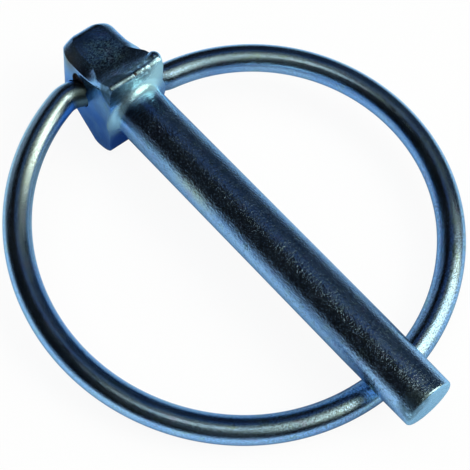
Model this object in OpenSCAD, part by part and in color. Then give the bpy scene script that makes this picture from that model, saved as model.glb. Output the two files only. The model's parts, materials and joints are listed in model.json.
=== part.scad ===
// Lynch pin: a drop-forged pin whose head carries a spring-wire ring.
// Lengths are in millimetres and angles in degrees.
// The shank lies along +X with its tip at the far end, and +Z is up as the pin lies on a table.
// The origin is on the shank's axis, a little in front of the shoulder.
// The ring is closed under the shank. It hinges on the slanted hole through the head.

/* [Shank] */
// Diameter of the shank
shank_d = 6; // [5:0.5:7]
// Length of the shank, from the shoulder's front face to the tip
shank_len = 44.6; // [43:0.2:60]
// Length of the lead-in taper that ends at the tip
lead_len = 9; // [6:0.5:10]
// Diameter at the tip, where the lead-in taper ends
lead_d = 5.8; // [4:0.1:5.9]
// Bevel round the flat end
tip_bevel = 0.25; // [0.1:0.05:0.6]
// Radius of the fillet where the shank grows out of the shoulder
root_r = 1; // [0.4:0.1:1.2]
// Distance from the shoulder's front face to the origin
shoulder_gap = 2; // [1.5:0.5:4]

/* [Head] */
// Length of the head, from its rounded end to the shoulder's front face
head_len = 10.2; // [9.6:0.1:11]
// Width of the head across its flat sides, at the hole
head_w = 7; // [6.6:0.1:7.2]
// Thickness of the head at the hole
head_t = 8.2; // [7.8:0.1:9]
// Roll of the head about the shank, as the pin lies
head_roll = -4; // [-6:0.5:6]
// Length over which the end rounds off, seen from the side
end_side = 1.8; // [1.2:0.1:3]
// Length over which the left side rounds in to the end, seen from above
end_left = 3.4; // [2:0.1:4]
// Length over which the right side rounds in to the end, seen from above
end_right = 2.6; // [1.6:0.1:4]
// How much slimmer the head is on its right side, behind the flare
right_slim = 0.35; // [0:0.05:0.5]
// Width of the bevel along the head's long edges, seen from above
bevel_w = 1.3; // [0.8:0.1:1.6]
// Height of the bevel along the head's long edges, seen from the side
bevel_h = 0.8; // [0.5:0.05:1.2]
// Swell of that bevel: 1 is a flat bevel and 2 a round edge
bevel_swell = 1.25; // [1.1:0.05:2]

/* [Shoulder] */
// Width of the shoulder across the flat sides
shoulder_w = 7.1; // [6.6:0.02:7.4]
// Height of the upper rim above the shank's axis
rim_top = 5.6; // [5.4:0.05:6.2]
// Depth of the lower rim below the shank's axis
rim_low = 6.7; // [5.8:0.1:7]
// Distance from the front face back to the crest of the upper rim
crest_top = 0.5; // [0.3:0.1:1.5]
// Distance from the front face back to the crest of the lower rim
crest_low = 2.8; // [1:0.1:3]
// Height of the front face's upper edge above the shank's axis
face_top = 5.2; // [4.8:0.05:5.3]
// Depth of the front face's lower edge below the shank's axis
face_low = 4.75; // [4.6:0.05:5.3]
// Distance from the front face back to where the upper flare begins
flare_top = 4.9; // [4.2:0.1:5.8]
// Distance from the front face back to where the lower flare begins
flare_low = 6.6; // [5:0.1:6.8]
// Hollow of the upper flare: 1 is straight and 2 a full hollow
hollow_top = 1.9; // [1:0.1:2.4]
// Hollow of the lower flare: 1 is straight and 2 a full hollow
hollow_low = 1; // [1:0.1:2.4]
// Radius at the shoulder's corners
corner_r = 0.3; // [0.2:0.05:0.6]
// Radius of the small bead of flash at one corner
flash_r = 0.8; // [0.5:0.05:1]
// Distance from the front face back to the middle of that bead
flash_back = 0.9; // [0.7:0.05:1.2]
// Distance to the middle of that bead, in from the shoulder's side and down from its crest
flash_in = 0.6; // [0.3:0.05:0.8]

/* [Hole] */
// Gap between the wire and the hole's wall, all round
hole_gap = 0.08; // [0.03:0.01:0.1]
// Distance from the front face back to the middle of the hole
hole_back = 3.85; // [3.75:0.05:4.1]
// How far the middle of the hole lies below the shank's axis
hole_drop = 0.5; // [0:0.1:0.8]
// Slant of the hole, away from square across the head
hole_slant = 26; // [22:0.5:27]
// Diameter of the hole's worn mouth on the left side
mouth_d = 4.8; // [4:0.1:5]
// Depth of the worn mouth, along the hole
mouth_deep = 1.2; // [0.6:0.1:1.4]
// How far the worn mouth has crept up from the hole
mouth_rise = 0.7; // [0:0.1:0.8]

/* [Ring] */
// Diameter of the ring's wire
wire_d = 3; // [2.6:0.1:3.2]
// Inside diameter of the ring, measured on its tip side
ring_inner_d = 41.2; // [39:0.2:43]
// Gap between the closed ring and the shank
ring_gap = 0.1; // [0.05:0.05:0.4]
// Radius of the two bends beside the head, to the middle of the wire
bend_r = 3; // [2.6:0.1:3.4]
// Roll of the ring against level, as the pin lies
ring_roll = 1; // [-2:0.5:2]
// Gap between the wire's two ends, inside the hole
end_gap = 0.8; // [0.4:0.1:2]

/* [Colours] */
// Colour of the pin
pin_colour = "#7f93ad"; // ["#7f93ad", "#8e8f91", "#b89a4a"]
// Colour of the ring
ring_colour = "#9db4c8"; // ["#9db4c8", "#8e8f91", "#b89a4a"]

/* [Hidden] */
$fn = 96;
wire_fn = 48;
end_power = 2.1;
end_steps = 8;
middle_steps = 14;
rim_steps = 4;
edge_steps = 6;
knuckle_over = 0.03;
knuckle_short = 0.05;
face_x = -shoulder_gap;
tip_x = face_x + shank_len;
lead_x = tip_x - lead_len;

// The ring's own plane: its origin is the middle of the hole, +X runs towards the tip.
// Three arcs meet tangent to one another, and a small bend joins each end to its straight stub.
ring_r = (ring_inner_d + wire_d) / 2;
left_r = ring_r * 1.04;
right_r = ring_r * 0.9056;
ring_c = [ring_r * 0.9431, -0.0023 * ring_r];
left_turn = 45;
right_turn = 49;
left_c = ring_c + (ring_r - left_r) * [cos(-left_turn), sin(-left_turn)];
right_c = ring_c + (ring_r - right_r) * [cos(right_turn), sin(right_turn)];

// The hole's direction and the direction square to it, in the ring's plane.
along = [sin(hole_slant), cos(hole_slant)];
across = [cos(hole_slant), -sin(hole_slant)];

// Left bend: tangent to the hole's line and, from inside, to the left arc.
left_off = left_c * across - bend_r;
left_s = left_c * along - sqrt(pow(left_r - bend_r, 2) - pow(left_off, 2));
left_bend_c = bend_r * across + left_s * along;
// Right bend: tangent to the hole's line and, from outside, to the right arc.
right_off = right_c * across + bend_r;
right_s = right_c * along - sqrt(pow(right_r + bend_r, 2) - pow(right_off, 2));
right_bend_c = -bend_r * across + right_s * along;

// Directions, as angles in the ring's plane, from each arc's centre to its joint with the bend.
left_joint = atan2(left_bend_c[1] - left_c[1], left_bend_c[0] - left_c[0]);
right_joint = atan2(right_bend_c[1] - right_c[1], right_bend_c[0] - right_c[0]);
across_dir = atan2(across[1], across[0]);
left_bend_from = across_dir + 180;
left_bend_to = left_joint + 360;
right_bend_to = right_joint - 180;

// The ring dips towards the tip until it passes under the shank with the stated gap.
cross_x = ring_c[0] + sqrt(pow(ring_r, 2) - pow(ring_c[1], 2));
under_r = shank_d / 2 - (shank_d - lead_d) / 2 * 0.36;
ring_dip = asin(((under_r + wire_d / 2 + ring_gap) / cos(ring_roll) - hole_drop) / cross_x);

// Moves things from the ring's own plane to where the closed ring lies.
module ring_place() {
    translate([face_x - hole_back, 0, -hole_drop])
        rotate([ring_roll, 0, 0])
            rotate([0, ring_dip, 0])
                children();
}

// A piece of wire bent to radius r about the point c, from angle a0 round to angle a1.
// It stops a hair short of both ends, where a knuckle joins it to the next piece.
module wire_arc(c, r, a0, a1) {
    short = knuckle_short / r * 180 / PI;
    translate([c[0], c[1], 0])
        rotate([0, 0, a0 + short])
            rotate_extrude(angle = a1 - a0 - 2 * short, $fn = 128)
                translate([r, 0])
                    circle(d = wire_d, $fn = wire_fn);
}

// Joins two pieces of wire that meet tangent at distance r from the point c, at angle a.
module knuckle(c, r, a) {
    translate([c[0] + r * cos(a), c[1] + r * sin(a), 0])
        sphere(d = wire_d + knuckle_over, $fn = wire_fn);
}

// A straight piece along the hole's line, from distance s0 to s1, wider by the ratio of its ends.
module on_hole_line(s0, s1, d0, d1) {
    rotate([0, 0, -hole_slant])
        translate([0, s0, 0])
            rotate([-90, 0, 0])
                cylinder(d1 = d0, d2 = d1, h = s1 - s0, $fn = wire_fn);
}

// The hole through the head, with its worn mouth on the left side.
module hole_cut() {
    hole_d = wire_d + 2 * hole_gap;
    face = -(head_w / 2) / cos(hole_slant);
    inner_d = hole_d - 2 * mouth_rise;
    widen = (mouth_d - inner_d) / mouth_deep;
    ring_place() {
        on_hole_line(-12, 12, hole_d, hole_d);
        translate([0, 0, mouth_rise])
            on_hole_line(face - 2, face + mouth_deep, mouth_d + 2 * widen, inner_d);
    }
}

// The number t kept between 0 and 1.
function share(t) = min(max(t, 0), 1);

// Goes smoothly from 0 to 1 as t does.
function ease(t) = pow(share(t), 2) * (3 - 2 * share(t));

// Share of its full size that the head has at x, where it rounds off over the given length.
function rounded(x, length) =
    pow(1 - pow(share((-x - head_len + length) / length), end_power), 1 / end_power);

// Reach of the bell at x: the head, a hollow flare up to the rim, then round to the front face.
function bell(x, rim, begin, crest, edge, hollow) =
    x > -crest
        ? edge + (rim - edge) * sqrt(max(0, 1 - pow(1 + x / crest, 2)))
        : head_t / 2 + (rim - head_t / 2) * pow(share((x + begin) / (begin - crest)), hollow);

// Half the width at x, before the end rounds in.
function half_wide(x) =
    head_w / 2 + (shoulder_w - head_w) / 2 * ease((x + flare_top) / (flare_top - crest_top));

// The section of the head at x: four edges, each from one side of its bevel to the other.
function head_section(x) =
    let(
        side = rounded(x, end_side),
        top = side * bell(x, rim_top, flare_top, crest_top, face_top, hollow_top),
        low = side * bell(x, rim_low, flare_low, crest_low, face_low, hollow_low),
        left = half_wide(x) * rounded(x, end_left),
        slim = right_slim * ease((-x - flare_top + 1) / 2),
        right = (half_wide(x) - slim) * rounded(x, end_right),
        small = share(min(left, right, top, low) / (bevel_w + 0.3)),
        bw = small * (bevel_w + (corner_r - bevel_w) * ease((x + flare_top) / 2.6)),
        bh = small * bevel_h
    )
    [for (q = [0 : 3]) for (k = [0 : edge_steps])
        let(
            to_right = q == 0 || q == 3,
            up = q < 2,
            a = 90 * (q % 2 == 0 ? k : edge_steps - k) / edge_steps,
            y = (to_right ? right : left) - bw + bw * pow(cos(a), 2 / bevel_swell),
            z = (up ? top : low) - bh + bh * pow(sin(a), 2 / bevel_swell)
        )
        [to_right ? y : -y, up ? z : -z]];

// Where the sections stand: closer together round the end and at the rim.
function head_stations() =
    let(
        reach = max(end_side, end_left, end_right),
        first = -head_len + reach,
        step = (-crest_top - first) / middle_steps
    )
    concat(
        [for (k = [1 : end_steps]) -head_len + reach * (1 - cos(90 * k / end_steps))],
        [for (k = [1 : middle_steps]) first + step * k],
        [for (k = [1 : rim_steps]) -crest_top * (1 - sin(90 * k / rim_steps))]
    );

// The forged head: a bell shape with a rounded end, flat sides and a tall flat-fronted shoulder.
// It is lofted through its sections and closed by one point at the end and by the front face.
module head() {
    at = head_stations();
    rows = len(at);
    cols = 4 * (edge_steps + 1);
    points = concat(
        [[-head_len, 0, 0]],
        [for (x = at) for (p = head_section(x)) [x, p[0], p[1]]]
    );
    end_fan = [for (k = [0 : cols - 1]) [0, 1 + k, 1 + (k + 1) % cols]];
    skin = [for (i = [0 : rows - 2]) for (k = [0 : cols - 1])
        let(
            a = 1 + i * cols + k,
            b = 1 + i * cols + (k + 1) % cols
        )
        each [[a, a + cols, b], [b, a + cols, b + cols]]];
    front = [[for (k = [0 : cols - 1]) 1 + (rows - 1) * cols + k]];
    polyhedron(points = points, faces = concat(end_fan, skin, front));
    translate([-flash_back, shoulder_w / 2 - flash_in, rim_top - flash_in])
        sphere(r = flash_r, $fn = 32);
}

// Shank with its root fillet, lead-in taper and bevelled flat end, turned about its own axis.
module shank() {
    tip_r = lead_d / 2;
    rotate([0, 90, 0]) {
        translate([0, 0, face_x - 0.5])
            cylinder(d = shank_d, h = lead_x - face_x + 0.5);
        translate([0, 0, lead_x])
            cylinder(d1 = shank_d, d2 = lead_d, h = lead_len - tip_bevel);
        translate([0, 0, tip_x - tip_bevel])
            cylinder(r1 = tip_r, r2 = tip_r - tip_bevel, h = tip_bevel);
        translate([0, 0, face_x])
            rotate_extrude()
                difference() {
                    translate([shank_d / 2 - 0.5, -0.3])
                        square([root_r + 0.5, root_r + 0.3]);
                    translate([shank_d / 2 + root_r, root_r])
                        circle(r = root_r, $fn = 48);
                    translate([shank_d / 2 + root_r - 0.4, -0.3])
                        square([0.4, 0.3]);
                }
    }
}

// The whole forged pin: head, shoulder and shank in one piece, with the slanted hole.
module pin() {
    color(pin_colour)
        difference() {
            union() {
                translate([face_x, 0, 0])
                    rotate([head_roll, 0, 0])
                        head();
                shank();
            }
            hole_cut();
        }
}

// The spring-wire ring: one piece of round wire whose two ends meet inside the hole.
module ring() {
    color(ring_colour)
        ring_place() {
            on_hole_line(left_s + knuckle_short, -end_gap / 2, wire_d, wire_d);
            knuckle(left_bend_c, bend_r, left_bend_from);
            wire_arc(left_bend_c, bend_r, left_bend_from, left_bend_to);
            knuckle(left_c, left_r, left_joint);
            wire_arc(left_c, left_r, left_joint, -left_turn);
            knuckle(ring_c, ring_r, -left_turn);
            wire_arc(ring_c, ring_r, -left_turn, right_turn);
            knuckle(ring_c, ring_r, right_turn);
            wire_arc(right_c, right_r, right_turn, right_joint);
            knuckle(right_c, right_r, right_joint);
            wire_arc(right_bend_c, bend_r, across_dir, right_bend_to);
            knuckle(right_bend_c, bend_r, across_dir);
            on_hole_line(end_gap / 2, right_s - knuckle_short, wire_d, wire_d);
        }
}

pin();
ring();
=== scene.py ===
"""Looks of the lynch pin: a zinc-plated forged pin with its spring-wire ring.

Lengths are in millimetres unless a line says otherwise, in the part's own frame: the shank lies
along +X, +Z is up and the origin is on the shank's axis. MM turns them into metres.
"""
import json
import math

import bmesh
import bpy
import numpy as np
from mathutils import Matrix, Vector


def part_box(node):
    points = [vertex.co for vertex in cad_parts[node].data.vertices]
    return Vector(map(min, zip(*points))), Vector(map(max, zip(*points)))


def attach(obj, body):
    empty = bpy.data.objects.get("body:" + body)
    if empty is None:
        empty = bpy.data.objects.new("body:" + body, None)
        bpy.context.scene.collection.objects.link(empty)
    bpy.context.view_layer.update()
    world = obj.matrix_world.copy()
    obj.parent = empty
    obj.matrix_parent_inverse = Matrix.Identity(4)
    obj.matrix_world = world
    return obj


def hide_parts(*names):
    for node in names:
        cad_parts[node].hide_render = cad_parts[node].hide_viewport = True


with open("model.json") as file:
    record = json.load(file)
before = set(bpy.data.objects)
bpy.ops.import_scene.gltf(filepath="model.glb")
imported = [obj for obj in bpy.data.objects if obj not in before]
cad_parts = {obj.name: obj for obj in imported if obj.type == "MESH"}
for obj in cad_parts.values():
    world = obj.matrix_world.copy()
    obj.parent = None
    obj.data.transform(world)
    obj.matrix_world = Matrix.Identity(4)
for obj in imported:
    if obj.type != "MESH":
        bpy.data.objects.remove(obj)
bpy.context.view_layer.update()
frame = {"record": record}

MM = 0.001

# ---------------------------------------------------------------- the forged pin's sizes
SHANK_R = 3.0
SHANK_LEN = 44.6
LEAD_LEN = 9.0
LEAD_R = 2.9
TIP_BEVEL = 0.25
ROOT_R = 1.0
FACE_X = -2.0
TIP_X = FACE_X + SHANK_LEN
LEAD_X = TIP_X - LEAD_LEN

HEAD_LEN = 10.2
HEAD_W = 7.0
HEAD_T = 8.2
HEAD_ROLL = math.radians(-4)
# The head's end rounds off over these runs: seen from the side, at its left and at its right. The
# power makes it a little fuller than an ellipse, which is 2
END_SIDE = 1.8
END_LEFT = 3.4
END_RIGHT = 2.6
END_POWER = 2.1
# Behind the flare, the right side is slimmer by this much, reached over this run
RIGHT_SLIM = 0.35
SLIM_RUN = 2.0
# Bevels of the long edges. A swell of 1 is a straight bevel and 2 an ellipse's arc. Where the
# head is smaller than the room, its bevels shrink too, and over the run they narrow to the rim
BEVEL_W = 1.3
BEVEL_H = 0.8
BEVEL_SWELL = 1.25
BEVEL_ROOM = BEVEL_W + 0.3
BEVEL_RUN = 2.6

# The bell, above and below the axis: the rim's height and its place behind the face, the height
# of the face's edge, where the flare begins, and how hollow it is, with 1 for straight
SHOULDER_W = 7.1
RIM_TOP = 5.6
RIM_LOW = 6.7
CREST_TOP = 0.5
CREST_LOW = 2.8
FACE_TOP = 5.2
FACE_LOW = 4.75
FLARE_TOP = 4.9
FLARE_LOW = 6.6
HOLLOW_TOP = 1.9
HOLLOW_LOW = 1.0
CORNER_R = 0.3

# The bead of flash is a ball set back from the face and in from the corner
FLASH_R = 0.8
FLASH_BACK = 0.9
FLASH_IN = 0.6
FLASH_MELT = 0.35
# From the point that the flash is seen from, inside the head, to the middle of its ball
FLASH_INSIDE = (0.5, 0.9, 1.2)

# Each wave of the forge: its turn per millimetre along X, Y and Z, its start, and its weight
FORGE_WAVES = np.array([
    [1.9, 0.7, 1.1, 0.0, 1.0],
    [-0.8, 2.1, 0.6, 2.0, 1.0],
    [1.3, -1.2, 2.3, 4.0, 0.7],
])
FORGE_DEPTH = 0.03
FORGE_FADE_FRONT = 1.2
FORGE_FADE_BACK = 1.0

# ---------------------------------------------------------------- the hole and the ring's sizes
WIRE_R = 1.5
# The hole leaves a gap all round the wire. It lies behind the face and under the axis
HOLE_GAP = 0.08
HOLE_BACK = 3.85
HOLE_DROP = 0.5
HOLE_SLANT = math.radians(26)
ALONG = np.array([math.sin(HOLE_SLANT), math.cos(HOLE_SLANT)])
ACROSS = np.array([math.cos(HOLE_SLANT), -math.sin(HOLE_SLANT)])
# Along the hole, the drill reaches this far both ways, with fine rows this near to the mouth
DRILL_REACH = 10.0
DRILL_FINE = 2.0
# The worn mouth is a cone, raised and shifted from the hole's middle
MOUTH_R = 1.8
MOUTH_DEEP = 1.2
MOUTH_RISE = 2.0
MOUTH_SIDE = 0.7
MOUTH_MELT = 0.12

# The closed ring rolls and dips a little. Its middle arc ends at the two turns
RING_INSIDE = 41.2
RING_ROLL = math.radians(1)
RING_DIP = math.radians(5.43143)
BEND_R = 3.0
END_GAP = 0.8
LEFT_TURN = math.radians(45)
RIGHT_TURN = math.radians(49)
# The left and right arcs and the ring's centre, as shares of the ring's radius
LEFT_SHARE = 1.04
RIGHT_SHARE = 0.9056
CENTRE_SHARE = (0.9431, -0.0023)

# ---------------------------------------------------------------- how fine the meshes are
BEVEL_STEPS = 12
SIDE_STEPS = 34
BACK_ROWS = 46
MIDDLE_ROWS = 96
FRONT_ROWS = 16
FACE_ROWS = 8
ROOT_ROWS = 14
SHANK_ROWS = 70
LEAD_ROWS = 20
BEVEL_ROWS = 6
END_ROWS = 12
DRILL_ROWS = (4, 61, 30)
ROUND_STEPS = 96
STUB_ROWS = 20
BEND_ROWS = 30
ARC_ROWS = 170
# How far from its tip a rounded end starts, and how small the flat end's last circle is
FIRST_ROW = 1e-4
LAST_CIRCLE = 0.02
SHARP_EDGE = math.radians(32)


# ---------------------------------------------------------------- small formulas
def share(t):
    """The number t kept between 0 and 1."""
    return np.clip(t, 0, 1)


def ease(t):
    """Smooth step: 3t^2 - 2t^3 between 0 and 1."""
    t = share(t)
    return t * t * (3 - 2 * t)


def soft_max(a, b, width):
    """The larger of a and b, with the corner between them rounded over the given width."""
    blend = share(0.5 + 0.5 * (a - b) / width)
    return b + (a - b) * blend + width * blend * (1 - blend)


def quarter(n, reach):
    """Steps from 0 to the reach that are close together at 0, as on a quarter circle."""
    return reach * (1 - np.cos(np.linspace(0, np.pi / 2, n)))


def turned(points, angle):
    """Points turned about the X axis: y and z go through a plane rotation."""
    c, s = math.cos(angle), math.sin(angle)
    x, y, z = points[..., 0], points[..., 1], points[..., 2]
    return np.stack([x, c * y - s * z, s * y + c * z], -1)


# ---------------------------------------------------------------- the forged pin
def rounded_end(x, length):
    """Share of the full size at x, where the head rounds off: (1 - t^p)^(1/p)."""
    t = share((-x - (HEAD_LEN - length)) / length)
    return (1 - t ** END_POWER) ** (1 / END_POWER)


def bell(x, rim, begin, crest, edge, hollow):
    """Height of the bell at x: the head, a hollow flare up to the crest, then round to the face."""
    flare = HEAD_T / 2 + (rim - HEAD_T / 2) * share((x + begin) / (begin - crest)) ** hollow
    front = edge + (rim - edge) * np.sqrt(1 - share((x + crest) / crest) ** 2)
    return np.where(x > -crest, front, flare)


def head_reaches(x):
    """Top, bottom, left and right reach of the head at x, and its bevel's width and height."""
    side = rounded_end(x, END_SIDE)
    top = side * bell(x, RIM_TOP, FLARE_TOP, CREST_TOP, FACE_TOP, HOLLOW_TOP)
    low = side * bell(x, RIM_LOW, FLARE_LOW, CREST_LOW, FACE_LOW, HOLLOW_LOW)
    half = HEAD_W / 2 + (SHOULDER_W - HEAD_W) / 2 * ease((x + FLARE_TOP) / (FLARE_TOP - CREST_TOP))
    slim = RIGHT_SLIM * ease((-x - FLARE_TOP + SLIM_RUN / 2) / SLIM_RUN)
    left = half * rounded_end(x, END_LEFT)
    right = (half - slim) * rounded_end(x, END_RIGHT)
    small = share(np.minimum(np.minimum(left, right), np.minimum(top, low)) / BEVEL_ROOM)
    bevel_w = small * (BEVEL_W + (CORNER_R - BEVEL_W) * ease((x + FLARE_TOP) / BEVEL_RUN))
    return top, low, left, right, bevel_w, small * BEVEL_H


def head_sections(x):
    """Section of the head at each x: four straight sides joined by flattened ellipse arcs."""
    top, low, left, right, bw, bh = [a[:, None] for a in head_reaches(x)]
    turn = np.linspace(0, np.pi / 2, BEVEL_STEPS + 1)[None, :]
    c, s = np.cos(turn) ** (2 / BEVEL_SWELL), np.sin(turn) ** (2 / BEVEL_SWELL)
    bevels = [
        np.stack([right - bw + bw * c, top - bh + bh * s], -1),
        np.stack([-left + bw - bw * c[:, ::-1], top - bh + bh * s[:, ::-1]], -1),
        np.stack([-left + bw - bw * c, -low + bh - bh * s], -1),
        np.stack([right - bw + bw * c[:, ::-1], -low + bh - bh * s[:, ::-1]], -1),
    ]
    step = np.linspace(0, 1, SIDE_STEPS + 2)[1:-1][None, :, None]
    pieces = []
    for here, following in zip(bevels, bevels[1:] + bevels[:1]):
        pieces += [here, here[:, -1:] + (following[:, :1] - here[:, -1:]) * step]
    return np.concatenate(pieces, 1)


def with_flash(head):
    """The head with its bead of flash: from a point inside, the farther of surface and ball."""
    ball = np.array([-FLASH_BACK, SHOULDER_W / 2 - FLASH_IN, RIM_TOP - FLASH_IN])
    inside = ball - np.array(FLASH_INSIDE)
    ray = head - inside
    reach = np.linalg.norm(ray, axis=-1)
    ray /= reach[..., None]
    to_ball = ball - inside
    middle = ray @ to_ball
    depth = middle ** 2 - to_ball @ to_ball + FLASH_R ** 2
    far = np.where(depth > 0, middle + np.sqrt(np.maximum(depth, 0)), 0)
    reach = np.where(depth > 0, soft_max(far, reach, FLASH_MELT), reach)
    return inside + ray * reach[..., None]


def forge_marks(points):
    """Slow unevenness of forged metal, -1 to 1: the weighted mean of three crossing sine waves."""
    phase = points @ FORGE_WAVES[:, :3].T + FORGE_WAVES[:, 3]
    weight = FORGE_WAVES[:, 4]
    return np.sin(phase) @ weight / weight.sum()


def forged_head():
    """The head: its sections from the rounded end to the front, worn down a little by the waves
    away from both ends, with the flash on, rolled, and set behind the face."""
    reach = max(END_SIDE, END_LEFT, END_RIGHT)
    back = -HEAD_LEN + quarter(BACK_ROWS, reach)[:-1]
    back[0] = -HEAD_LEN + FIRST_ROW
    middle = np.linspace(-HEAD_LEN + reach, -CREST_TOP, MIDDLE_ROWS, endpoint=False)
    front = -quarter(FRONT_ROWS, CREST_TOP)[::-1]
    x = np.concatenate([back, middle, front])
    section = head_sections(x)
    head = np.concatenate([np.repeat(x[:, None, None], section.shape[1], 1), section], -1)
    fade = (ease(-x / FORGE_FADE_FRONT) * ease((x + HEAD_LEN) / FORGE_FADE_BACK))[:, None]
    away = head * np.array([0, 1, 1])
    away /= np.linalg.norm(away, axis=-1)[..., None]
    head = head + away * (FORGE_DEPTH * fade * (forge_marks(head) - 1))[..., None]
    return turned(with_flash(head), HEAD_ROLL) + np.array([FACE_X, 0, 0])


def shank_profile():
    """Place along X and radius: quarter-circle fillet, shank, lead-in, round bevel, flat end."""
    turn = np.linspace(0, np.pi / 2, ROOT_ROWS)[1:]
    root = np.stack([FACE_X + ROOT_R * (1 - np.cos(turn)),
                     SHANK_R + ROOT_R * (1 - np.sin(turn))], -1)
    body = np.linspace(FACE_X + ROOT_R, LEAD_X, SHANK_ROWS)[1:]
    body = np.stack([body, 0 * body + SHANK_R], -1)
    lead = np.linspace(LEAD_X, TIP_X - TIP_BEVEL, LEAD_ROWS)[1:]
    lead = np.stack([lead, np.interp(lead, [LEAD_X, TIP_X], [SHANK_R, LEAD_R])], -1)
    turn = np.linspace(0, np.pi / 2, BEVEL_ROWS)[1:]
    bevel = np.stack([TIP_X - TIP_BEVEL * (1 - np.sin(turn)),
                      lead[-1, 1] - TIP_BEVEL * (1 - np.cos(turn))], -1)
    end = np.linspace(bevel[-1, 1], LAST_CIRCLE, END_ROWS)[1:]
    end = np.stack([TIP_X + 0 * end, end], -1)
    return np.concatenate([root, body, lead, bevel, end])


def pin_surface():
    """The pin as one surface: the head, the flat face from its edge in to a circle, the shank."""
    head = forged_head()
    edge = head[-1, :, 1:]
    angle = np.arctan2(edge[:, 1], edge[:, 0])
    circle = np.stack([np.cos(angle), np.sin(angle)], -1)
    mix = np.linspace(0, 1, FACE_ROWS + 1)[1:, None, None]
    face = np.repeat(head[-1:], FACE_ROWS, 0)
    face[..., 1:] = edge * (1 - mix) + circle * (SHANK_R + ROOT_R) * mix
    profile = shank_profile()[:, None]
    shank = np.concatenate(
        [np.repeat(profile[..., :1], len(circle), 1), profile[..., 1:] * circle], -1)
    return np.concatenate([head, face, shank])


# ---------------------------------------------------------------- the hole and the ring
def ring_place(points):
    """From the ring's own plane to where the closed ring lies: dip, roll, then shift."""
    c, s = math.cos(RING_DIP), math.sin(RING_DIP)
    x, y, z = points[..., 0], points[..., 1], points[..., 2]
    points = turned(np.stack([c * x + s * z, y, c * z - s * x], -1), RING_ROLL)
    return points + np.array([FACE_X - HOLE_BACK, 0, -HOLE_DROP])


def hole_surface():
    """The drill for the hole: a circle along the hole, joined softly to the worn mouth's cone."""
    side_x = -(HEAD_W / 2) / math.cos(HOLE_SLANT)
    hole_r = WIRE_R + HOLE_GAP
    inner = hole_r - math.hypot(MOUTH_SIDE, MOUTH_RISE)
    first, fine, rest = DRILL_ROWS
    s = np.concatenate([np.linspace(-DRILL_REACH, side_x - DRILL_FINE, first),
                        np.linspace(side_x - DRILL_FINE, side_x + DRILL_FINE, fine)[1:],
                        np.linspace(side_x + DRILL_FINE, DRILL_REACH, rest)[1:]])[:, None]
    cone = inner + (MOUTH_R - inner) * (side_x + MOUTH_DEEP - s) / MOUTH_DEEP
    cone = np.clip(cone, 0, MOUTH_R)
    v = np.linspace(0, 2 * np.pi, ROUND_STEPS, endpoint=False)[None]
    depth = cone ** 2 - (MOUTH_SIDE * np.sin(v) - MOUTH_RISE * np.cos(v)) ** 2
    reach = MOUTH_SIDE * np.cos(v) + MOUTH_RISE * np.sin(v)
    worn = np.where(depth > 0, reach + np.sqrt(np.maximum(depth, 0)), 0)
    radius = soft_max(worn, hole_r + 0 * worn, MOUTH_MELT)
    tube = s[..., None] * ALONG + (radius * np.cos(v))[..., None] * ACROSS
    return ring_place(np.concatenate([tube, (radius * np.sin(v))[..., None]], -1))


def ring_line():
    """Middle of the wire in the ring's plane: stub, bend, three tangent arcs, bend, stub."""
    r = RING_INSIDE / 2 + WIRE_R
    left_r, right_r = r * LEFT_SHARE, r * RIGHT_SHARE
    centre = r * np.array(CENTRE_SHARE)
    left_c = centre + (r - left_r) * np.array([math.cos(-LEFT_TURN), math.sin(-LEFT_TURN)])
    right_c = centre + (r - right_r) * np.array([math.cos(RIGHT_TURN), math.sin(RIGHT_TURN)])
    off = left_c @ ACROSS - BEND_R
    left_s = left_c @ ALONG - math.sqrt((left_r - BEND_R) ** 2 - off ** 2)
    left_bend = BEND_R * ACROSS + left_s * ALONG
    off = right_c @ ACROSS + BEND_R
    right_s = right_c @ ALONG - math.sqrt((right_r + BEND_R) ** 2 - off ** 2)
    right_bend = -BEND_R * ACROSS + right_s * ALONG

    def heading(a, b):
        return math.atan2(b[1] - a[1], b[0] - a[0])

    def arc(c, radius, start, stop, rows):
        a = np.linspace(start, stop, rows)
        return c + radius * np.stack([np.cos(a), np.sin(a)], -1)

    full = 2 * math.pi
    across_dir = math.atan2(ACROSS[1], ACROSS[0])
    left_joint = heading(left_c, left_bend) + full
    right_joint = heading(right_c, right_bend)
    return np.concatenate([
        np.linspace(-END_GAP / 2, left_s, STUB_ROWS)[:, None] * ALONG,
        arc(left_bend, BEND_R, across_dir + math.pi, left_joint, BEND_ROWS)[1:],
        arc(left_c, left_r, left_joint, full - LEFT_TURN, ARC_ROWS)[1:],
        arc(centre, r, full - LEFT_TURN, full + RIGHT_TURN, ARC_ROWS)[1:],
        arc(right_c, right_r, RIGHT_TURN, right_joint, ARC_ROWS)[1:],
        arc(right_bend, BEND_R, right_joint - math.pi, across_dir, BEND_ROWS)[1:],
        np.linspace(right_s, END_GAP / 2, STUB_ROWS)[1:, None] * ALONG,
    ])


def ring_surface():
    """The wire as a tube: a circle carried square to the ring's line.

    It also gives each point's place on the wire, for the drawing marks: the two sides of the
    circle and the length along the line."""
    line = ring_line()
    step = np.gradient(line, axis=0)
    step /= np.linalg.norm(step, axis=1)[:, None]
    side = np.stack([step[:, 1], -step[:, 0]], -1)
    length = np.concatenate([[0], np.cumsum(np.linalg.norm(np.diff(line, axis=0), axis=1))])
    v = np.linspace(0, 2 * np.pi, ROUND_STEPS, endpoint=False)
    out, up = WIRE_R * np.cos(v)[None], WIRE_R * np.sin(v)[None]
    tube = np.empty((len(line), ROUND_STEPS, 3))
    tube[..., :2] = line[:, None] + out[..., None] * side[:, None]
    tube[..., 2] = up
    on_wire = np.empty_like(tube)
    on_wire[..., 0] = out
    on_wire[..., 1] = up
    on_wire[..., 2] = length[:, None]
    return ring_place(tube), on_wire


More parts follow.
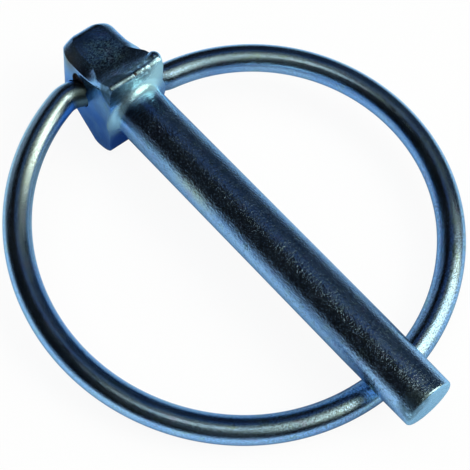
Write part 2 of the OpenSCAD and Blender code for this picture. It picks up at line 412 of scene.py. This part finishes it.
# ---------------------------------------------------------------- meshes
def skin(name, grid, marks=None):
    """A closed mesh from a grid of points: rows along, columns round, both ends closed."""
    rows, cols = grid.shape[:2]
    ends = np.stack([grid[0].mean(0), grid[-1].mean(0)])
    points = np.concatenate([grid.reshape(-1, 3), ends]) * MM
    j = np.arange(cols)
    k = (j + 1) % cols
    i = np.arange(rows - 1)[:, None] * cols
    quads = np.stack([i + j, i + cols + j, i + cols + k, i + k], -1).reshape(-1, 4)
    first, last, base = rows * cols, rows * cols + 1, (rows - 1) * cols
    start_cap = np.stack([j * 0 + first, j, k], -1)
    end_cap = np.stack([j * 0 + last, base + k, base + j], -1)
    mesh = bpy.data.meshes.new(name)
    mesh.from_pydata(points.tolist(), [], quads.tolist() + start_cap.tolist() + end_cap.tolist())
    if marks is not None:
        layer = mesh.attributes.new("wire", "FLOAT_VECTOR", "POINT")
        values = np.concatenate([marks.reshape(-1, 3), marks[0, :1], marks[-1, :1]]) * MM
        layer.data.foreach_set("vector", values.astype(np.float32).ravel())
    bm = bmesh.new()
    bm.from_mesh(mesh)
    bmesh.ops.recalc_face_normals(bm, faces=bm.faces)
    bm.to_mesh(mesh)
    bm.free()
    piece = bpy.data.objects.new(name, mesh)
    bpy.context.scene.collection.objects.link(piece)
    return piece


def drill_out(piece, drill):
    """Cuts the drill's form out of the piece, lines the cut with its material, and drops it."""
    cut = piece.modifiers.new("hole", "BOOLEAN")
    cut.operation = "DIFFERENCE"
    cut.solver = "EXACT"
    cut.material_mode = "TRANSFER"
    cut.object = drill
    bpy.context.view_layer.update()
    shape = piece.evaluated_get(bpy.context.evaluated_depsgraph_get())
    made = bpy.data.meshes.new_from_object(shape)
    piece.modifiers.clear()
    piece.data = made
    bpy.data.objects.remove(drill)


# ---------------------------------------------------------------- nodes
# Sockets of the colour mix, which share their names with those for numbers
MIX_A, MIX_B, MIX_OUT = 6, 7, 2


class Nodes:
    """Short calls for the nodes of a material or of the room."""

    def __init__(self, tree):
        self.tree = tree

    def node(self, kind, **settings):
        """A new node with the given settings."""
        made = self.tree.nodes.new(kind)
        for key, value in settings.items():
            setattr(made, key, value)
        return made

    def link(self, source, target):
        """Joins an output to the input, or sets the input to a plain number or colour."""
        if isinstance(source, bpy.types.NodeSocket):
            self.tree.links.new(source, target)
        else:
            target.default_value = source

    def spread(self, value, low, high, to_low=0.0, to_high=1.0):
        """Maps low..high onto to_low..to_high smoothly, and no farther."""
        made = self.node("ShaderNodeMapRange", interpolation_type="SMOOTHSTEP")
        self.link(value, made.inputs["Value"])
        made.inputs["From Min"].default_value = low
        made.inputs["From Max"].default_value = high
        made.inputs["To Min"].default_value = to_low
        made.inputs["To Max"].default_value = to_high
        return made.outputs["Result"]

    def math(self, kind, a, b):
        """One step of arithmetic on a and b, such as ADD or POWER."""
        made = self.node("ShaderNodeMath", operation=kind)
        self.link(a, made.inputs[0])
        self.link(b, made.inputs[1])
        return made.outputs[0]

    def both(self, a, b):
        """a times b: where both marks are, or a mark at part of its strength."""
        return self.math("MULTIPLY", a, b)

    def either(self, a, b):
        """The larger of a and b: where either mark is."""
        return self.math("MAXIMUM", a, b)

    def mix(self, factor, a, b):
        """Colour a where the factor is 0 and colour b where it is 1."""
        made = self.node("ShaderNodeMix", data_type="RGBA")
        self.link(factor, made.inputs["Factor"])
        for colour, socket in ((a, MIX_A), (b, MIX_B)):
            self.link((*colour, 1) if isinstance(colour, tuple) else colour, made.inputs[socket])
        return made.outputs[MIX_OUT]


class Finish(Nodes):
    """One material, and short calls for the marks in it."""

    def __init__(self, name):
        self.material = bpy.data.materials.new(name)
        self.material.use_nodes = True
        super().__init__(self.material.node_tree)
        self.shader = self.tree.nodes["Principled BSDF"]

    def place(self, stretch=(1, 1, 1), attribute=None):
        """Where on the piece: object coordinates, or the wire's own, each axis stretched."""
        if attribute:
            source = self.node("ShaderNodeAttribute", attribute_name=attribute).outputs["Vector"]
        else:
            source = self.node("ShaderNodeTexCoord").outputs["Object"]
        mapping = self.node("ShaderNodeMapping")
        self.link(source, mapping.inputs["Vector"])
        mapping.inputs["Scale"].default_value = stretch
        return mapping.outputs["Vector"]

    def noise(self, place, size, detail=2.0, rough=0.5, seed=0.0):
        """Noise whose blotches are about the given size in millimetres."""
        made = self.node("ShaderNodeTexNoise", noise_dimensions="4D")
        self.link(place, made.inputs["Vector"])
        made.inputs["W"].default_value = seed
        made.inputs["Scale"].default_value = 1 / (size * MM)
        made.inputs["Detail"].default_value = detail
        made.inputs["Roughness"].default_value = rough
        return made.outputs["Fac"]

    def bump(self, height, depth, under=None):
        """Raises the surface by the height times the depth in millimetres."""
        made = self.node("ShaderNodeBump")
        self.link(height, made.inputs["Height"])
        made.inputs["Distance"].default_value = depth * MM
        if under is not None:
            self.link(under, made.inputs["Normal"])
        return made.outputs["Normal"]

    def height(self, empty, full):
        """0 at the first height above the shank's axis and 1 at the second, in millimetres."""
        parts = self.node("ShaderNodeSeparateXYZ")
        self.link(self.node("ShaderNodeTexCoord").outputs["Object"], parts.inputs[0])
        return self.spread(parts.outputs["Z"], empty * MM, full * MM)

    def spot(self, at, radius, soft, stretch=(1, 1, 1)):
        """1 inside a ball round the point, in millimetres, fading to 0 past its radius."""
        away = self.node("ShaderNodeVectorMath", operation="DISTANCE")
        self.link(self.place(stretch), away.inputs[0])
        away.inputs[1].default_value = [a * s * MM for a, s in zip(at, stretch)]
        return self.spread(away.outputs["Value"], (radius + soft) * MM, (radius - soft) * MM)

    def stain(self, colour, tint, where, most=1.0):
        """The colour turned towards the tint where the mark is, at most by the given share."""
        return self.mix(self.both(where, most), colour, tint)


# ---------------------------------------------------------------- colours of the zinc
ZINC_PALE = (0.35, 0.59, 0.88)
ZINC_BLUE = (0.25, 0.48, 0.87)
ZINC_SHADE = (0.20, 0.27, 0.34)
# Painted shade: a stronger blue low on the head's side, and darker still on its lower front face
ZINC_DEEP = (0.08, 0.27, 0.84)
ZINC_NIGHT = (0.02, 0.12, 0.55)
ZINC_SHANK = (0.48, 0.72, 1.0)
# Painted sheen on the front face and round the shank's root; also the cut end's paler zinc
ZINC_FROST = (0.50, 0.88, 1.0)
# Painted sheen on the ring's left
ZINC_BRIGHT = (0.66, 0.86, 0.86)
WIRE_PALE = (0.44, 0.70, 1.0)
WIRE_BLUE = (0.32, 0.58, 1.0)
EDGE_TINT = (0.72, 0.88, 0.97, 1)
GRAIN_BLUE = (0.16, 0.36, 0.86)
GRAIN_OLIVE = (0.30, 0.42, 0.44)
# Painted olive shade at the head's far end
BLOOM_OLIVE = (0.22, 0.18, 0.09)
FILM_GREEN = (0.42, 0.66, 0.60)
FILM_VIOLET = (0.42, 0.46, 0.80)
# Dark patches: flakes on the rim, and painted shade that trims the highlights on the rim's left and
# at the tip
SCUFF = (0.10, 0.17, 0.22)
CHIP = (0.03, 0.028, 0.035)
GRIT = (0.12, 0.17, 0.18)
DUST = (0.20, 0.48, 0.62)
FLARE = (0.80, 0.88, 0.62)
# Painted shade on the wire where it goes into the hole
GREASE = (0.07, 0.11, 0.11)
# Steel in the hole and its mouth, painted dark to stand for the shade inside
HOLE_STEEL = (0.05, 0.055, 0.07)
HOLE_RUST = (0.09, 0.05, 0.04)

# ---------------------------------------------------------------- noises in the finishes
# Size of the blotches, detail, roughness and seed
PIN_CLOUDS = (3.0, 3, 0.55)
PIN_GRAIN = (0.22, 2, 0.6, 3)
PIN_WAVES = (1.6, 2, 0.5, 5)
PIN_DULL = (1.2, 3, 0.6, 7)
SPECKS = (0.20, 2, 0.6, 11)
SPECK_TINTS = (0.6, 1, 0.5, 12)
DUST_GRAINS = (0.17, 2, 0.6, 13)
PIN_FILM = (0.9, 2, 0.5, 21)
CHIPS = (0.35, 2, 0.6, 31)
FLAKES = (0.5, 2, 0.6, 32)
DEEP_CLOUDS = (1.8, 2, 0.5, 41)
HOLE_BLOTCHES = (0.7, 3, 0.6, 9)
HOLE_GRAIN = (0.3, 2, 0.6, 4)
WIRE_CLOUDS = (4.0, 3, 0.55, 1)
WIRE_LINES = (0.16, 2, 0.5, 2)
WIRE_WAVES = (1.4, 2, 0.5, 5)
WIRE_DULL = (1.5, 3, 0.6, 7)
WIRE_FILM = (0.7, 2, 0.5, 22)
WIRE_GRAIN = (0.15, 2, 0.6, 24)

# Levels of a noise at which its mark begins and is full
CLOUD_EDGES = (0.35, 0.65)
SPECK_EDGES = (0.50, 0.68)
TINT_EDGES = (0.42, 0.58)
DUST_EDGES = (0.42, 0.62)
PIT_EDGES = (0.48, 0.30)
GREEN_EDGES = (0.56, 0.70)
VIOLET_EDGES = (0.44, 0.30)
SCUFF_EDGES = (0.3, 0.6)
FLAKE_EDGES = (0.58, 0.50)
BURR_EDGES = (0.3, 0.5)
CHIP_EDGES = (1.15, 1.40)
DEEP_EDGES = (0.35, 0.6)
RUST_EDGES = (0.4, 0.6)
LINE_EDGES = (0.5, 0.3)
GRIT_EDGES = (0.56, 0.40)
DULL_EDGES = (0.3, 0.7)

# ---------------------------------------------------------------- marks on the pieces
# A ball each: its middle, its radius, how softly it ends, and how each axis is stretched
WHOLE_SHANK = ((22.0, 0.0, 0.0), 21.2, 1.5)
SHANK_WORN = ((34.0, -1.0, 2.8), 7.0, 6.0, (1, 2, 2))
SHANK_SMOOTH = ((36.0, 0.0, 0.0), 5.0, 6.0)
SHANK_FLARE = ((10.6, -2.6, 1.5), 0.6, 0.8, (0.3, 1, 1))
CUT_END = ((TIP_X, 0.0, 0.0), 2.9, 0.15)
# Painted shade that trims the highlight at the tip's edge
TIP_BURR = ((TIP_X, -2.2, 2.0), 1.9, 0.6)
# Painted shade low on the head's side
HEAD_SIDE = ((-8.8, -2.0, -2.0), 6.6, 0.9)
HEAD_DUSTY = ((-7.2, 0.1, 4.1), 2.0, 1.6)
# Painted olive shade at the head's far end
HEAD_BLOOM = ((-9.2, -3.2, 3.3), 1.2, 1.6)
# Painted shade on the lower front face
LOW_FACE = ((-2.0, -1.8, -4.9), 2.7, 0.9)
# Painted sheen on the front face and round the shank's root: the next three balls
FACE_FROST = ((-1.9, 1.7, 3.8), 2.9, 1.8, (2.2, 1, 1))
ROOT_RING = ((-1.7, -0.5, -0.5), 3.9, 0.7, (3.6, 1, 1))
ROOT_LEFT = ((-1.5, -3.6, 0.6), 2.8, 1.6)
# Painted shade that trims the rim's highlight on its left
RIM_SCUFF = ((-1.7, -2.2, 5.0), 2.25, 0.25)
RIM_FLAKES = ((-2.4, 1.2, 5.4), 1.6, 0.6)
RIM_CHIP = ((-2.3, 0.3, 5.45), 0.4, 0.5)
# Painted sheen on the ring's left
RING_BRIGHT = ((-9.0, -16.0, -3.0), 11.0, 8.0)
# Grit, heavier towards the tip, where the extra is painted shade that dims the highlight
RING_TIRED = ((38.0, 8.0, -6.0), 20.0, 8.0)
# Painted shade on the wire where it goes into the hole
RING_GREASY = ((-7.0, -3.2, -0.4), 1.9, 0.6)
# Heights between which a mark fades: the painted shade low on the head's side, and the painted
# sheen at the rim
SIDE_FADE = (4.0, -1.5)
RIM_FADE = (5.6, 5.2)

# Strength of a patchy mark where it is weakest and strongest
PATCHY = (0.6, 1.0)
# Strength of the specks where the shank is worn, on all of it, and elsewhere
SPECKS_WORN = 0.75
SPECKS_SHANK = 0.55
SPECKS_ELSEWHERE = 0.2
# Strength of the flakes and the tip's painted shade beside the rim's, and of the root's painted
# sheen beside the face's
FLAKES_SHARE = 0.9
ROOT_FROST_SHARE = 0.7
# Strength of the pits on the head, and how much stronger they are on the shank
PITS_HEAD = 0.4
PITS_MORE = 0.3
# Strength of the grit on the ring, and how much stronger it is towards the tip, where the extra
# grit is also painted shade
GRIT_RING = 0.35
GRIT_MORE = 0.35

# How much of the metal's mirror each mark takes away
SPECKS_DEAD = 0.12
FROST_DEAD = 0.46
# Roughness where a finish is brightest and dullest, and how much the marks add to it
PIN_DULLNESS = (0.15, 0.24)
WIRE_DULLNESS = (0.16, 0.25)
SPECKS_DULL = 0.02
SCUFF_DULL = 0.2
GREASE_DULL = 0.15
HOLE_METAL = 0.6
HOLE_DULL = 0.5

# Share of the grain's depth on the head and on the shank, and before the smooth part and in it
GRAIN_ON_SHANK = (0.4, 1.0)
GRAIN_SMOOTHED = (1.0, 0.66)
PIN_GRAIN_DEPTH = 0.068
PIN_WAVE_DEPTH = 0.04
HOLE_GRAIN_DEPTH = 0.03
WIRE_GRAIN_DEPTH = 0.022
WIRE_LINE_DEPTH = 0.004
WIRE_WAVE_DEPTH = 0.02
# How the wire's own marks are stretched: the drawing lines, and all others
DRAWN_LONG = (1, 1, 0.03)
DRAWN_EVEN = (1, 1, 0.5)


def forged_zinc():
    """Bright zinc over forged and pickled steel.

    The ground is a cloudy blue, paler on the shank. Over it lie fine specks, dust on the head's
    top, a bright fleck on the shank, a film of green and violet, dark pits in the grain, a paler
    cut end, flakes on the rim and a chip. Painted light lies over it too: a painted sheen on the
    front face and round the shank's root, and painted shade in dark patches that trim the
    highlights on the rim's left and at the tip, in olive at the head's far end, and in a stronger
    blue low on the head's side and on its lower front face. Specks, dust, the painted olive shade
    and the painted sheen are less metallic than the zinc, and the grain lies over long waves."""
    f = Finish("forged_zinc")
    place = f.place()
    shank = f.spot(*WHOLE_SHANK)
    grain = f.noise(place, *PIN_GRAIN)
    film = f.noise(place, *PIN_FILM)
    flaked = f.noise(place, *FLAKES)

    worn = f.either(f.both(f.spot(*SHANK_WORN), SPECKS_WORN), f.both(shank, SPECKS_SHANK))
    specks = f.spread(f.noise(place, *SPECKS), *SPECK_EDGES)
    specks = f.both(specks, f.either(worn, SPECKS_ELSEWHERE))
    dust = f.both(f.spot(*HEAD_DUSTY), f.spread(f.noise(place, *DUST_GRAINS), *DUST_EDGES))
    pits = f.math("ADD", f.both(shank, PITS_MORE), PITS_HEAD)
    pits = f.both(f.spread(grain, *PIT_EDGES), pits)
    # Painted sheen on the front face and round the shank's root
    face_frost = f.both(f.spot(*FACE_FROST), f.height(*RIM_FADE))
    root_frost = f.both(f.spot(*ROOT_RING), f.spot(*ROOT_LEFT))
    flakes = f.both(f.spot(*RIM_FLAKES), f.spread(flaked, *FLAKE_EDGES))
    # Painted shade trims the highlights at the tip's edge and on the rim's left; the flakes join it
    burr = f.both(f.spot(*TIP_BURR), f.spread(flaked, *BURR_EDGES))
    scuff = f.both(f.spot(*RIM_SCUFF), f.spread(flaked, *SCUFF_EDGES, *PATCHY))
    scuff = f.either(scuff, f.both(f.either(flakes, burr), FLAKES_SHARE))
    chip = f.math("ADD", f.noise(place, *CHIPS), f.spot(*RIM_CHIP))
    # Painted olive shade at the head's far end
    bloom = f.spot(*HEAD_BLOOM)
    # Painted shade low on the head's side and on its lower front face
    low_face = f.spot(*LOW_FACE)
    deep = f.either(f.both(f.height(*SIDE_FADE), f.spot(*HEAD_SIDE)), low_face)
    deep = f.both(deep, f.spread(f.noise(place, *DEEP_CLOUDS), *DEEP_EDGES, *PATCHY))

    clouds = f.spread(f.noise(place, *PIN_CLOUDS), *CLOUD_EDGES)
    speck_tint = f.spread(f.noise(place, *SPECK_TINTS), *TINT_EDGES)
    speck_tint = f.mix(speck_tint, GRAIN_BLUE, GRAIN_OLIVE)
    colour = f.mix(clouds, ZINC_PALE, ZINC_BLUE)
    colour = f.stain(colour, ZINC_SHANK, shank, most=0.65)
    colour = f.stain(colour, speck_tint, specks, most=0.5)
    colour = f.stain(colour, DUST, dust, most=0.8)
    colour = f.stain(colour, FLARE, f.spot(*SHANK_FLARE), most=0.8)
    colour = f.stain(colour, FILM_GREEN, f.spread(film, *GREEN_EDGES), most=0.35)
    colour = f.stain(colour, FILM_VIOLET, f.spread(film, *VIOLET_EDGES), most=0.35)
    colour = f.stain(colour, ZINC_SHADE, pits)
    # Painted sheen on the front face and round the root, then the cut end's paler zinc
    colour = f.stain(colour, ZINC_FROST, face_frost, most=0.9)
    colour = f.stain(colour, ZINC_FROST, root_frost, most=0.6)
    colour = f.stain(colour, ZINC_FROST, f.spot(*CUT_END), most=0.45)
    # Painted shade over the highlights at the rim and the tip, with the rim's flakes
    colour = f.stain(colour, SCUFF, scuff, most=0.9)
    colour = f.stain(colour, CHIP, f.spread(chip, *CHIP_EDGES))
    # Painted olive shade at the head's far end
    colour = f.stain(colour, BLOOM_OLIVE, bloom, most=0.9)
    # Painted shade in a stronger blue low on the head's side and on its lower front face
    colour = f.stain(colour, ZINC_DEEP, deep, most=0.85)
    colour = f.stain(colour, ZINC_NIGHT, low_face, most=0.7)
    f.link(colour, f.shader.inputs["Base Color"])
    f.shader.inputs["Specular Tint"].default_value = EDGE_TINT

    # Besides specks and dust, the painted olive shade and the painted sheen are less metallic
    dead = f.both(f.either(f.either(specks, dust), bloom), SPECKS_DEAD)
    frost = f.either(face_frost, f.both(root_frost, ROOT_FROST_SHARE))
    dead = f.either(dead, f.both(frost, FROST_DEAD))
    f.link(f.math("SUBTRACT", 1.0, dead), f.shader.inputs["Metallic"])
    dull = f.spread(f.noise(place, *PIN_DULL), *DULL_EDGES, *PIN_DULLNESS)
    dull = f.math("ADD", dull, f.both(specks, SPECKS_DULL))
    dull = f.math("ADD", dull, f.both(scuff, SCUFF_DULL))
    f.link(dull, f.shader.inputs["Roughness"])

    waves = f.bump(f.noise(place, *PIN_WAVES), PIN_WAVE_DEPTH)
    coarse = f.both(f.spread(shank, 0.0, 1.0, *GRAIN_ON_SHANK),
                    f.spread(f.spot(*SHANK_SMOOTH), 0.0, 1.0, *GRAIN_SMOOTHED))
    f.link(f.bump(f.both(grain, coarse), PIN_GRAIN_DEPTH, waves), f.shader.inputs["Normal"])
    return f.material


def bare_hole():
    """The drilled hole and its worn mouth: dull steel with brown rust, painted dark to stand for
    the shade inside them.
    """
    f = Finish("bare_hole")
    place = f.place()
    rust = f.spread(f.noise(place, *HOLE_BLOTCHES), *RUST_EDGES)
    f.link(f.mix(rust, HOLE_STEEL, HOLE_RUST), f.shader.inputs["Base Color"])
    f.shader.inputs["Metallic"].default_value = HOLE_METAL
    f.shader.inputs["Roughness"].default_value = HOLE_DULL
    grain = f.bump(f.noise(place, *HOLE_GRAIN), HOLE_GRAIN_DEPTH)
    f.link(grain, f.shader.inputs["Normal"])
    return f.material


def drawn_zinc():
    """Bright zinc over drawn wire.

    The ground is a cloudy blue with faint darker lines along the wire and a film of green and
    violet. It has a painted sheen on the ring's left, and it is gritty all over and more so
    towards the tip, where the extra grit is also painted shade that dims the highlight. Where the
    wire goes into the hole it is darker and rougher, as painted shade."""
    f = Finish("drawn_zinc")
    along = f.place(DRAWN_LONG, "wire")
    even = f.place(DRAWN_EVEN, "wire")
    lines = f.noise(along, *WIRE_LINES)
    film = f.noise(even, *WIRE_FILM)
    grain = f.noise(f.place(), *WIRE_GRAIN)
    # Grit, heavier towards the tip, where the extra is painted shade that dims the highlight
    tired = f.math("ADD", f.both(f.spot(*RING_TIRED), GRIT_MORE), GRIT_RING)
    # Painted shade on the wire where it goes into the hole
    greasy = f.spot(*RING_GREASY)

    clouds = f.spread(f.noise(even, *WIRE_CLOUDS), *CLOUD_EDGES)
    colour = f.mix(clouds, WIRE_PALE, WIRE_BLUE)
    colour = f.stain(colour, ZINC_SHADE, f.spread(lines, *LINE_EDGES), most=0.25)
    colour = f.stain(colour, FILM_GREEN, f.spread(film, *GREEN_EDGES), most=0.45)
    colour = f.stain(colour, FILM_VIOLET, f.spread(film, *VIOLET_EDGES), most=0.45)
    # Painted sheen on the ring's left
    colour = f.stain(colour, ZINC_BRIGHT, f.spot(*RING_BRIGHT), most=0.6)
    # Grit, heavier towards the tip, where the extra is painted shade
    colour = f.stain(colour, GRIT, f.spread(grain, *GRIT_EDGES), most=tired)
    # Painted shade on the wire where it goes into the hole
    colour = f.stain(colour, GREASE, greasy, most=0.85)
    f.link(colour, f.shader.inputs["Base Color"])
    f.shader.inputs["Metallic"].default_value = 1
    f.shader.inputs["Specular Tint"].default_value = EDGE_TINT

    dull = f.spread(f.noise(even, *WIRE_DULL), *DULL_EDGES, *WIRE_DULLNESS)
    f.link(f.math("ADD", dull, f.both(greasy, GREASE_DULL)), f.shader.inputs["Roughness"])
    waves = f.bump(f.noise(even, *WIRE_WAVES), WIRE_WAVE_DEPTH)
    drawn = f.bump(lines, WIRE_LINE_DEPTH, waves)
    f.link(f.bump(grain, WIRE_GRAIN_DEPTH, drawn), f.shader.inputs["Normal"])
    return f.material


# ---------------------------------------------------------------- the two pieces
pin = skin("forged_pin", pin_surface())
drill = skin("drill", hole_surface())
drill.data.materials.append(bare_hole())
pin.data.materials.append(forged_zinc())
drill_out(pin, drill)
ring = skin("spring_ring", *ring_surface())
ring.data.materials.append(drawn_zinc())

bodies = frame["record"]["behaviour"]["bodies"]
for piece, node in ((pin, "pin"), (ring, "ring")):
    piece.data.shade_smooth()
    piece.data.set_sharp_from_angle(angle=SHARP_EDGE)
    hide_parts(node)
    body = next(name for name, nodes in bodies.items() if node in nodes)
    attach(piece, body)


# ---------------------------------------------------------------- the paper floor
CENTRE = Vector((14.0, 0.0, 0.0)) * MM
FLOOR_SIZE = 6.0  # metres
FLOOR_SEEN = 0.92
FLOOR_DULL = 0.9

PAPER = (0.92, 0.92, 0.92)
PAPER_MIRRORED = (0.80, 0.90, 1.0)
PAPER_GLOW = (0.64, 0.86, 1.0)
# The glow's colour in the painted contact shade
PAPER_DEEP = (0.0, 0.03, 0.12)
WHITE = (1.0, 1.0, 1.0)
BLACK = (0.0, 0.0, 0.0)
GLOW_SHARE = 0.45
# The mirrored paper has a painted pool of light round the origin, and painted contact shade close
# to the metal
POOL_EDGE = 35.0
POOL_END = 3.0 * POOL_EDGE
POOL_REST = 0.2
CONTACT_REACH = 13.0
CONTACT_DARK = 1.8
CONTACT_SAMPLES = 8


def floor_finish():
    """White paper. What the lens sees is lifted to plain white, and the shadow stays faint.

    What metal mirrors is a pale blue paper, part of it glowing, with the pool and the contact
    shade in it."""
    f = Finish("paper")
    f.shader.inputs["Roughness"].default_value = FLOOR_DULL
    f.shader.inputs["Specular IOR Level"].default_value = 0.0
    rays = f.node("ShaderNodeLightPath")
    away = f.node("ShaderNodeVectorMath", operation="LENGTH")
    f.link(f.node("ShaderNodeTexCoord").outputs["Object"], away.inputs[0])
    pool = f.spread(away.outputs["Value"], POOL_EDGE * MM, POOL_END * MM, 1.0, POOL_REST)
    contact = f.node("ShaderNodeAmbientOcclusion", samples=CONTACT_SAMPLES)
    contact.inputs["Distance"].default_value = CONTACT_REACH * MM
    shade = f.both(pool, f.math("POWER", contact.outputs["AO"], CONTACT_DARK))
    mirrored = f.mix(shade, BLACK, PAPER_MIRRORED)
    glossy = rays.outputs["Is Glossy Ray"]
    f.link(f.mix(glossy, PAPER, mirrored), f.shader.inputs["Base Color"])
    glow = f.node("ShaderNodeEmission")
    f.link(f.mix(glossy, WHITE, f.mix(shade, PAPER_DEEP, PAPER_GLOW)), glow.inputs["Color"])
    seen = f.either(rays.outputs["Is Camera Ray"], rays.outputs["Is Transmission Ray"])
    part = f.math("ADD", f.both(seen, FLOOR_SEEN), f.both(glossy, GLOW_SHARE))
    both = f.node("ShaderNodeMixShader")
    f.link(part, both.inputs[0])
    f.link(f.shader.outputs[0], both.inputs[1])
    f.link(glow.outputs[0], both.inputs[2])
    f.link(both.outputs[0], f.tree.nodes["Material Output"].inputs["Surface"])
    return f.material


floor_z = min(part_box("pin")[0].z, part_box("ring")[0].z)
bpy.ops.mesh.primitive_plane_add(size=FLOOR_SIZE, location=(CENTRE.x, CENTRE.y, floor_z))
floor = bpy.context.object
floor.name = "floor"
floor.data.materials.append(floor_finish())

# ---------------------------------------------------------------- the room
ROOM_DARK = (0.006, 0.006, 0.007)
ROOM_HORIZON = (0.22, 0.23, 0.24)
# The rise of a direction, the sine of its elevation, where the pale horizon is full and where it
# ends
HORIZON = (-0.02, 0.18)
# Patches of the room: azimuth and elevation in degrees, the cosine of the angle from there at
# which the patch begins and at which it is full, and its colour
ROOM_PATCHES = (
    (102, 33, 0.78, 0.97, (0.015, 0.026, 0.042)),
    (142, 66, 0.964, 0.995, (0.044, 0.076, 0.148)),
    (325, 50, 0.75, 1.0, (0.05, 0.055, 0.05)),
    (25, 58, 0.80, 1.0, (0.80, 0.74, 0.54)),
    (182, 10, 0.90, 1.0, (0.28, 0.33, 0.40)),
)


def compass(azimuth, elevation):
    """Direction from an azimuth, measured from +X towards +Y, and an elevation, in degrees."""
    a, e = math.radians(azimuth), math.radians(elevation)
    return Vector((math.cos(a) * math.cos(e), math.sin(a) * math.cos(e), math.sin(e)))


def room():
    """A dark room with paler patches and a pale horizon, and plain white to the lens."""
    world = bpy.data.worlds.new("room")
    world.use_nodes = True
    n = Nodes(world.node_tree)
    way = n.node("ShaderNodeTexCoord").outputs["Generated"]

    def towards(direction):
        """Cosine of the angle between the way looked and the direction."""
        dot = n.node("ShaderNodeVectorMath", operation="DOT_PRODUCT")
        n.link(way, dot.inputs[0])
        dot.inputs[1].default_value = direction
        return dot.outputs["Value"]

    colour = ROOM_DARK
    for azimuth, elevation, begins, full, tint in ROOM_PATCHES:
        patch = n.spread(towards(compass(azimuth, elevation)), begins, full)
        colour = n.mix(patch, colour, tint)
    horizon = n.spread(towards(Vector((0, 0, 1))), *HORIZON, 1.0, 0.0)
    colour = n.mix(horizon, colour, ROOM_HORIZON)
    rays = n.node("ShaderNodeLightPath")
    colour = n.mix(rays.outputs["Is Camera Ray"], colour, WHITE)
    n.link(colour, n.tree.nodes["Background"].inputs["Color"])
    return world


bpy.context.scene.world = room()

# ---------------------------------------------------------------- lamps
# Azimuth and elevation in degrees, distance in metres, half the angle that the lamp spans across
# and up, its level, its colour, and whether metal mirrors it
LAMPS = {
    "softbox": (42, 29, 0.9, 22, 35, 2.3, (1.0, 0.87, 0.64), True),
    "spotlight": (305, 75, 0.9, 5.5, 5.5, 2.4, (1.0, 0.90, 0.72), True),
    "beam": (34, 45, 0.9, 12, 12, 4.0, WHITE, False),
    "ceiling": (0, 90, 1.2, 40, 40, 1.3, (0.80, 0.92, 1.0), False),
}


def lamp(name, azimuth, elevation, distance, half_wide, half_tall, level, colour, mirrored):
    """An oval soft lamp. The level is how bright its face is against white paper."""
    wide, tall = [distance * math.tan(math.radians(a)) for a in (half_wide, half_tall)]
    light = bpy.data.lights.new(name, "AREA")
    light.shape = "ELLIPSE"
    light.size = 2 * wide
    light.size_y = 2 * tall
    light.energy = level * math.pi * math.pi * wide * tall
    light.color = colour
    held = bpy.data.objects.new(name, light)
    bpy.context.scene.collection.objects.link(held)
    way = compass(azimuth, elevation)
    held.location = CENTRE + way * distance
    held.rotation_mode = "QUATERNION"
    held.rotation_quaternion = way.to_track_quat("Z", "Y")
    held.visible_glossy = mirrored


for lamp_name, lamp_sizes in LAMPS.items():
    lamp(lamp_name, *lamp_sizes)

# ---------------------------------------------------------------- camera
LENS = 115.1
SENSOR = 36
CLIP = (0.01, 20)  # metres
CAMERA_AT = Vector((71.27, -51.32, 133.17)) * MM
CAMERA_RIGHT = Vector((0.65097, 0.75900, 0.01296))
CAMERA_DOWN = Vector((0.66854, -0.56514, -0.48340))

lens = bpy.data.cameras.new("camera")
lens.lens = LENS
lens.sensor_width = SENSOR
lens.clip_start, lens.clip_end = CLIP
camera = bpy.data.objects.new("camera", lens)
bpy.context.scene.collection.objects.link(camera)
axes = Matrix((CAMERA_RIGHT, -CAMERA_DOWN, CAMERA_DOWN.cross(CAMERA_RIGHT)))
camera.matrix_world = Matrix.Translation(CAMERA_AT) @ axes.transposed().to_4x4()
bpy.context.scene.camera = camera

bpy.context.scene.view_settings.view_transform = "Standard"
